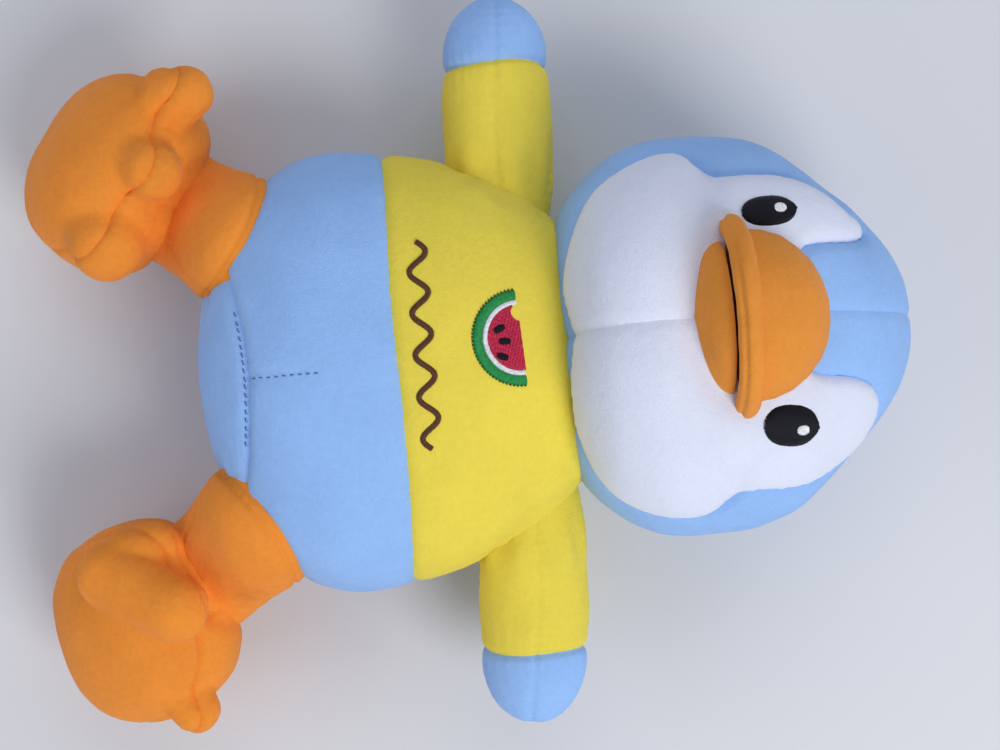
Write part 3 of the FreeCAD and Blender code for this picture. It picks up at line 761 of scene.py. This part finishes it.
# ------------------------------------------------------------------ legs
LEGS = {"right": (np.array([-49.0, -49.0, 58.0]), np.array([-85.5, -104.0, 38.5])),
        "left": (np.array([51.5, -51.0, 58.0]), np.array([92.5, -107.5, 37.5]))}
for sd, (hip, ankle) in LEGS.items():
    L = np.linalg.norm(ankle - hip)
    tip = ankle + (ankle - hip) / L * 12.0
    pw = table([(-8, 24.0), (2, 26.8), (12, 27.2), (17, 26.4), (22, 25.6), (40, 24.2), (55, 23.0), (66, 20.0), (76, 13.0), (L + 12, 0)])
    pz = table([(-8, 24.0), (2, 26.8), (12, 26.6), (17, 25.4), (22, 24.0), (34, 21.0), (55, 20.0), (66, 18.0), (76, 12.0), (L + 12, 0)])
    v, f, (x, y, z, LL) = limb_grid(hip, tip, pw, pz, -8.0, rings=130)
    s0 = (v - hip) @ y
    v = v + np.array([0, 0, 1.0]) * (9.0 - 14.0 * sstep(2, 44, s0))[:, None]
    f = orient(v, f, hip + y * 40)
    vi, fi, _ = limb_grid(hip, tip, pw, pz, 6.0, rings=30, sides=40)
    vi = vi + np.array([0, 0, 1.0]) * (9.0 - 14.0 * sstep(2, 44, (vi - hip) @ y))[:, None]
    filling(sd + "_leg_stuffing", vi, orient(vi, fi, hip + y * 40),
            blend=("torso", sd + "_leg", metres(*(hip + y * 10)), metres(*(hip + y * 34))), deep=4.5)
    rel = v - hip
    s, lx, lz = rel @ y, rel @ x, rel @ z
    ang = np.arctan2(lz, lx)
    n = normals(v, f)
    off = 0.45 * noise(v, 15, 16) + 0.22 * noise(v, 7, 17) + 0.08 * noise(v, 4, 18)
    out_of = in_torso(v)
    hem = np.abs(out_of - 4.6)
    off += seam(hem, ang * 24, 1.2, 1.2, 0.2, 4.6, 4, 2)
    off -= 1.0 * np.exp(-(out_of / 2.2) ** 2)
    inner = np.abs(np.angle(np.exp(1j * (ang - (2.4 if sd == "right" else 0.7))))) * 24
    off += seam(inner, s, 1.0, 1.4, 0.3, 4.6, 5, 7)
    off += 0.7 * np.cos(ang * 8 + np.sin(ang * 3)) * np.exp(-((s - 50) / 10.0) ** 2)
    v = v + n * off[:, None]
    o = make(sd + "_leg_cloth", v, f, "orange_fabric")
    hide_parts(sd + "_leg")
    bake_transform(o)

# ------------------------------------------------------------------ feet
FEET = {"right": (np.array([-89.5, -110.0, 43.0]), (0.305, 0.480, 0.822), (0.834, -0.551, 0.0)),
        "left": (np.array([94.5, -114.0, 41.5]), (-0.160, 0.784, 0.600), (0.980, 0.200, 0.0))}
for sd, (c, t, w) in FEET.items():
    t = np.array(t); t /= np.linalg.norm(t)
    w = np.array(w); w /= np.linalg.norm(w)
    nn = np.cross(t, w); nn /= np.linalg.norm(nn)
    if nn[1] > 0:
        nn = -nn
    hip, ankle = LEGS[sd]
    leg_dir = (ankle - hip) / np.linalg.norm(ankle - hip)
    outer = -1 if sd == "right" else 1          # w runs from the outer to the inner toe on the right foot
    if sd == "right":
        toes = [((-36.0, 28.0, 4.0), (-39.5, 34.0, 1.0), 11.4), ((-7.0, 34.0, 3.0), (-7.5, 43.0, 1.0), 11.5),
                ((22.0, 26.0, 2.0), (26.0, 35.0, 0.0), 14.0)]
        half_w, half_l, half_out, half_in = 41.0, 43.0, 29.0, 33.5
    else:
        toes = [((-28.0, 17.0, 10.0), (-27.0, 25.0, 2.0), 11.5), ((-24.0, 13.0, 19.0), (-4.0, 38.0, 12.0), 12.6),
                ((33.0, 19.0, 5.0), (38.5, 22.0, 4.0), 9.6)]
        half_w, half_l, half_out, half_in = 40.5, 40.0, 28.0, 34.0

    def in_foot(p, c=c, t=t, w=w, nn=nn, toes=toes, half_w=half_w, half_l=half_l, half_out=half_out, half_in=half_in):
        r = p - c
        a, b, h = r @ w, r @ t, r @ nn
        e = np.abs(a / half_w) ** 2.3 + np.abs(b / half_l) ** 2.3
        thick = np.where(h > 0, half_out, half_in)
        body = (e + np.abs(h / thick) ** 2.3) ** (1 / 2.3) - 1.0
        body = body * 31.0
        out = body
        local = np.stack([a, b, h], 1)
        for (p0, p1, tr) in toes:
            p0, p1 = np.array(p0), np.array(p1)
            m = np.clip(((local - p0) @ (p1 - p0)) / ((p1 - p0) @ (p1 - p0)), 0, 1)
            q = np.linalg.norm(local - p0 - m[:, None] * (p1 - p0), axis=1) - tr
            out = smin(out, q, 2.0)
        return out

    vi = project(c, d4, in_foot, 90)
    filling(sd + "_foot_stuffing", vi, f4, ride=sd + "_foot", deep=5.0)
    d, f = ico(sub)
    v = project(c, d, in_foot, 90)
    rel = v - c
    gs = rel @ nn - 7.0 + 2.0 * np.cos((rel @ w) / 14.0)
    v, f, _ = refine(v, f, gs)
    rel = v - c
    A, B, H = rel @ w, rel @ t, rel @ nn
    gs = H - 7.0 + 2.0 * np.cos(A / 14.0)
    n = normals(v, f)
    edge = np.abs(gs) / np.maximum(np.sqrt(np.maximum(1 - (n @ nn) ** 2, 0.05)), 0.3)
    arc = np.arctan2(B, A) * 44.0
    off = puff(edge, 0.9, 4.0) - 0.5 + seam(edge, arc, 1.1, 1.1, 0.35, 4.6, 4.5, 4 if sd == "right" else 9)
    # top seam along the instep and the crease round the ankle
    inst = np.where(H < 0, np.abs(A - 2.0), 99)
    off += seam(inst, B, 0.9, 1.3, 0.25, 4.8, 5, 1) * sstep(4, 12, B)
    ax = v - hip
    sl = ax @ leg_dir
    rl = np.linalg.norm(ax - sl[:, None] * leg_dir, axis=1)
    dring = np.abs(rl - 23.0)
    up_side = (H < 2)
    off -= np.where(up_side, 1.6 * np.exp(-(dring / 4.0) ** 2), 0)
    off += np.where(up_side, 0.22 * np.cos(np.arctan2(B, A) * 11 + np.sin(3 * np.arctan2(B, A))) * np.exp(-((rl - 27) / 7.0) ** 2), 0)
    off += 0.8 * noise(v, 22, 19) + 0.35 * noise(v, 9, 20) + 0.10 * noise(v, 4, 21)
    v = settle(v + n * off[:, None], 0.6)
    sole = side(f, gs)
    a = make(sd + "_foot_upper_cloth", *part_of(v, f, ~sole), "orange_fabric")
    b = make(sd + "_foot_sole_cloth", *part_of(v, f, sole), "orange_fabric")
    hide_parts(sd + "_foot_upper"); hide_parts(sd + "_foot_sole")
    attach(a, sd + "_foot")
    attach(b, sd + "_foot")


# ------------------------------------------------------------------ embroidery: every thread is laid on the cloth
def hit(tree, x, y):
    loc, nor, _, _ = tree.ray_cast(Vector((x, y, 400.0)), Vector((0, 0, -1)))
    if loc is None:
        return None
    if nor.z < 0:
        nor = -nor
    return np.array(loc), np.array(nor)


def satin(name, tree, segs, width, rise, mat, base=0.1, steps=7, tuck=0.35):
    """Threads laid side by side, each from one edge of the shape to the other over a low dome."""
    vs, fs = [], []
    sides = 6
    for (p, q) in segs:
        pts, nors = [], []
        for t in np.linspace(0, 1, steps):
            h = hit(tree, p[0] + (q[0] - p[0]) * t, p[1] + (q[1] - p[1]) * t)
            if h is None:
                pts = []
                break
            up = base + rise * (1 - (2 * t - 1) ** 2) ** 0.5 if 0 < t < 1 else base
            up = up - (tuck if t in (0.0, 1.0) else 0)
            nn = h[1]
            pts.append(h[0] + nn * up)
            nors.append(nn)
        if len(pts) < steps:
            continue
        pts, nors = np.array(pts), np.array(nors)
        v, f = tube(pts, width / 2, sides, 0.8, up=nors)
        k = sum(len(a) for a in vs)
        vs.append(v)
        fs += [tuple(i + k for i in g) for g in f]
    return make(name, np.concatenate(vs), fs, mat)


def oval_rows(cx, cy, rx, ry, pitch, turn=0.0, jitter=0.12):
    out = []
    t = math.radians(turn)
    for y in np.arange(-ry + pitch / 2, ry, pitch):
        h = rx * max(1 - abs(y / ry) ** 2.5, 0) ** (1 / 2.0)
        if h < 0.25:
            continue
        a, b = -h - RNG.uniform(0, jitter), h + RNG.uniform(0, jitter)
        out.append(((cx + a * math.cos(t) - y * math.sin(t), cy + a * math.sin(t) + y * math.cos(t)),
                    (cx + b * math.cos(t) - y * math.sin(t), cy + b * math.sin(t) + y * math.cos(t))))
    return out


EYES = {"right": (-44.3, 140.6, 5.6, 10.2, 2.0), "left": (32.8, 141.6, 7.5, 10.2, -8.0)}
GLINT = {"right": (-44.8, 144.4, 1.8, 2.2), "left": (34.4, 145.4, 1.8, 2.3)}
for sd in ("right", "left"):
    x, y, rx, ry, tn = EYES[sd]
    o = satin(sd + "_eye_stitches", HEAD_TREE, oval_rows(x, y, rx, ry, 0.42, tn), 0.62, 0.9, "black_thread")
    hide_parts(sd + "_eye"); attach(o, "head")
    x, y, rx, ry = GLINT[sd]
    o = satin(sd + "_eye_highlight_stitches", HEAD_TREE, oval_rows(x, y, rx, ry, 0.40), 0.55, 0.35, "white_thread",
              base=0.95, tuck=0.1)
    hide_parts(sd + "_eye_highlight"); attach(o, "head")

SX, SY, STURN = -7.0, 48.5, math.radians(3.0)


def sl(r, a):
    x, y = r * math.cos(a), 0.98 * r * math.sin(a)
    return (SX + x * math.cos(STURN) - y * math.sin(STURN), SY + x * math.sin(STURN) + y * math.cos(STURN))


segs = [(sl(14.0 - RNG.uniform(0, .2), a), sl(17.6 + RNG.uniform(0, .25), a)) for a in np.linspace(math.pi, 2 * math.pi, 112)]
o = satin("slice_rind_stitches", TORSO_TREE, segs, 0.56, 0.5, "green_thread", steps=6)
edge = [(sl(17.9, a), sl(17.9, a + 0.055)) for a in np.linspace(math.pi, 2 * math.pi - 0.055, 40)]
o2 = satin("slice_rind_edge_stitches", TORSO_TREE, edge, 0.5, 0.3, "dark_green", steps=4, base=0.15)
o2.data.materials[0] = M["dark_green"]
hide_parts("slice_rind"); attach(o, "torso"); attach(o2, "torso")
segs = [(sl(12.0, a), sl(14.1, a)) for a in np.linspace(math.pi, 2 * math.pi, 92)]
o = satin("slice_pith_stitches", TORSO_TREE, segs, 0.5, 0.35, "white_thread", steps=5)
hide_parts("slice_pith"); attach(o, "torso")
rows = []
for k, yy in enumerate(np.arange(-11.7, 0.3, 0.46)):
    h = math.sqrt(max(12.1 ** 2 - (yy / 0.98) ** 2, 0))
    x = -h - (k % 3) * 1.1
    while x < h:
        a, b = max(x, -h), min(x + 3.6, h)
        gap = 3.5 ** 2 - (yy - 1.3) ** 2
        if gap > 0:
            g0, g1 = -9.4 - math.sqrt(gap), -9.4 + math.sqrt(gap)
            if a < g1 and b > g0:
                a, b = (a, g0) if a < g0 else (g1, b)
        if b - a > 0.5:
            rows.append(((SX + a * math.cos(STURN) - yy * math.sin(STURN), SY + a * math.sin(STURN) + yy * math.cos(STURN)),
                         (SX + b * math.cos(STURN) - yy * math.sin(STURN), SY + b * math.sin(STURN) + yy * math.cos(STURN))))
        x += 3.55
o = satin("slice_flesh_stitches", TORSO_TREE, rows, 0.56, 0.16, "red_thread", base=0.25, steps=5, tuck=0.15)
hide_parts("slice_flesh"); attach(o, "torso")
segs = []
for (x, y, tn) in ((-10.6, 41.0, 24), (-5.9, 42.6, -4), (-0.4, 41.4, -20)):
    segs += oval_rows(x, y, 1.15, 2.2, 0.42, tn, 0.05)
o = satin("slice_seed_stitches", TORSO_TREE, segs, 0.55, 0.35, "black_thread", base=0.6, steps=5, tuck=0.1)
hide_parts("slice_seeds"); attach(o, "torso")

segs = []
WX0, WX1, WY, WA, WT, WN = -45.0, 31.0, 13.4, 3.2, 1.0, 5
s_acc, u = 0.0, 0.0
while u < 1.0:
    x = WX0 + (WX1 - WX0) * u
    ph = 2 * math.pi * WN * u
    y = WY + WA * math.sin(ph)
    sp = WA * math.cos(ph) * 2 * math.pi * WN / (WX1 - WX0)
    k = math.hypot(1, sp)
    j = RNG.uniform(0, 0.12)
    segs.append(((x + sp / k * (WT + j), y - (WT + j) / k), (x - sp / k * (WT + j), y + (WT + j) / k)))
    u += 0.46 / k / (WX1 - WX0)
o = satin("chest_wave_stitches", TORSO_TREE, segs, 0.52, 0.45, "brown_thread", steps=6)
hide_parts("chest_wave_embroidery"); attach(o, "torso")

segs = []
for i in range(17):
    x = -24.0 + 48.0 * i / 16 + RNG.uniform(-.3, .3)
    ys = []
    for xx in (x - 0.9, x + 0.9):
        z = hit(TORSO_TREE, xx, -55.0)[0][2]
        y = float(-57.0 + (z - TZ) * ts - 0.0036 * xx * xx)
        ys.append(y)
    segs.append(((x - 0.9, ys[0] - 0.25), (x + 0.9, ys[1] + 0.25)))
o = satin("seat_seam_thread", TORSO_TREE, segs, 0.5, 0.3, "blue_thread", base=0.3, steps=4, tuck=0.5)
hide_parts("seat_seam_stitches"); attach(o, "torso")
segs = [((RNG.uniform(-.2, .2), y), (RNG.uniform(-.2, .2), y + 1.8)) for y in np.linspace(-50.5, -26.5, 9)]
o = satin("belly_dart_thread", TORSO_TREE, segs, 0.4, 0.2, "blue_thread", base=0.15, steps=4, tuck=0.4)
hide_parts("belly_dart_stitches"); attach(o, "torso")

# ------------------------------------------------------------------ neck, hidden under the chin
NK = np.array([-1.0, 66.0, 54.0])
d4n, f4n = ico(4)
v = NK + d4n * np.array([37.0, 19.0, 25.0])
o = make("neck_tube_cloth", v + normals(v, f4n) * (0.4 * noise(v, 12, 31))[:, None], f4n, "yellow_fabric")
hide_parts("neck_tube"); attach(o, "neck")
filling("neck_stuffing", NK + d4n * np.array([34.0, 17.0, 22.5]), f4n, ride="neck", deep=0.5)
a = np.linspace(0, 2 * math.pi, 181)
path = np.column_stack([NK[0] + 40.0 * np.cos(a), np.full(181, 62.5), NK[2] + 26.5 * np.sin(a)])
v, f = tube(path, 1.5, 12, 1.0, up=(0, 1, 0), closed_ends=False)
o = make("neck_seam_ring_cord", v, f, "yellow_fabric")
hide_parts("neck_seam_ring"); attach(o, "neck")

# ------------------------------------------------------------------ a fibre look for any stuffing node left as it is
NODE_MAT = {}
for nm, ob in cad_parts.items():
    mat = NODE_MAT.get(nm, "stuffing" if nm.endswith("stuffing") else None)
    if mat:
        for sl_ in ob.material_slots:
            sl_.material = M[mat]

# ------------------------------------------------------------------ floor, light, camera
bpy.ops.mesh.primitive_plane_add(size=6.0, location=(0, 0, 0))
floor = bpy.context.object
floor.name = "floor"
fm = bpy.data.materials.new("floor")
fm.use_nodes = True
fb = fm.node_tree.nodes["Principled BSDF"]
fb.inputs["Base Color"].default_value = (0.72, 0.73, 0.76, 1)
fb.inputs["Roughness"].default_value = 0.8
floor.data.materials.append(fm)


def area(name, loc, aim, size, power, color=(1, 1, 1)):
    li = bpy.data.lights.new(name, "AREA")
    li.shape = "SQUARE"; li.size = size; li.energy = power; li.color = color
    o = bpy.data.objects.new(name, li)
    bpy.context.scene.collection.objects.link(o)
    o.location = loc
    o.rotation_euler = (Vector(aim) - Vector(loc)).to_track_quat("-Z", "Y").to_euler()
    return o


area("key", (0.85, 0.60, 1.05), (0, 0.03, 0.05), 0.7, 12.2, (1.0, 0.99, 0.98))
area("fill", (-0.9, 0.3, 0.9), (0, 0.03, 0.05), 1.2, 4.5, (0.92, 0.95, 1.0))
area("low", (0.2, -1.1, 0.6), (0, 0.0, 0.05), 1.0, 3.5, (0.95, 0.97, 1.0))
bpy.context.scene.view_settings.view_transform = "Standard"
world = bpy.data.worlds.new("room") if not bpy.context.scene.world else bpy.context.scene.world
bpy.context.scene.world = world
world.use_nodes = True
world.node_tree.nodes["Background"].inputs["Color"].default_value = (0.80, 0.86, 1.0, 1)
world.node_tree.nodes["Background"].inputs["Strength"].default_value = 0.32

cam_data = bpy.data.cameras.new("camera")
cam_data.sensor_width = 36.0
cam_data.lens = 36.0 * 1.362
cam = bpy.data.objects.new("camera", cam_data)
bpy.context.scene.collection.objects.link(cam)
right = Vector((0.0837, 0.9965, 0.0)); up = Vector((-0.9965, 0.0837, 0.0)); back = right.cross(up)
rot = Matrix((right, up, back)).transposed().to_4x4()
cam.matrix_world = Matrix.Translation(Vector((0.0062, 0.040, 0.600))) @ rot
bpy.context.scene.camera = cam
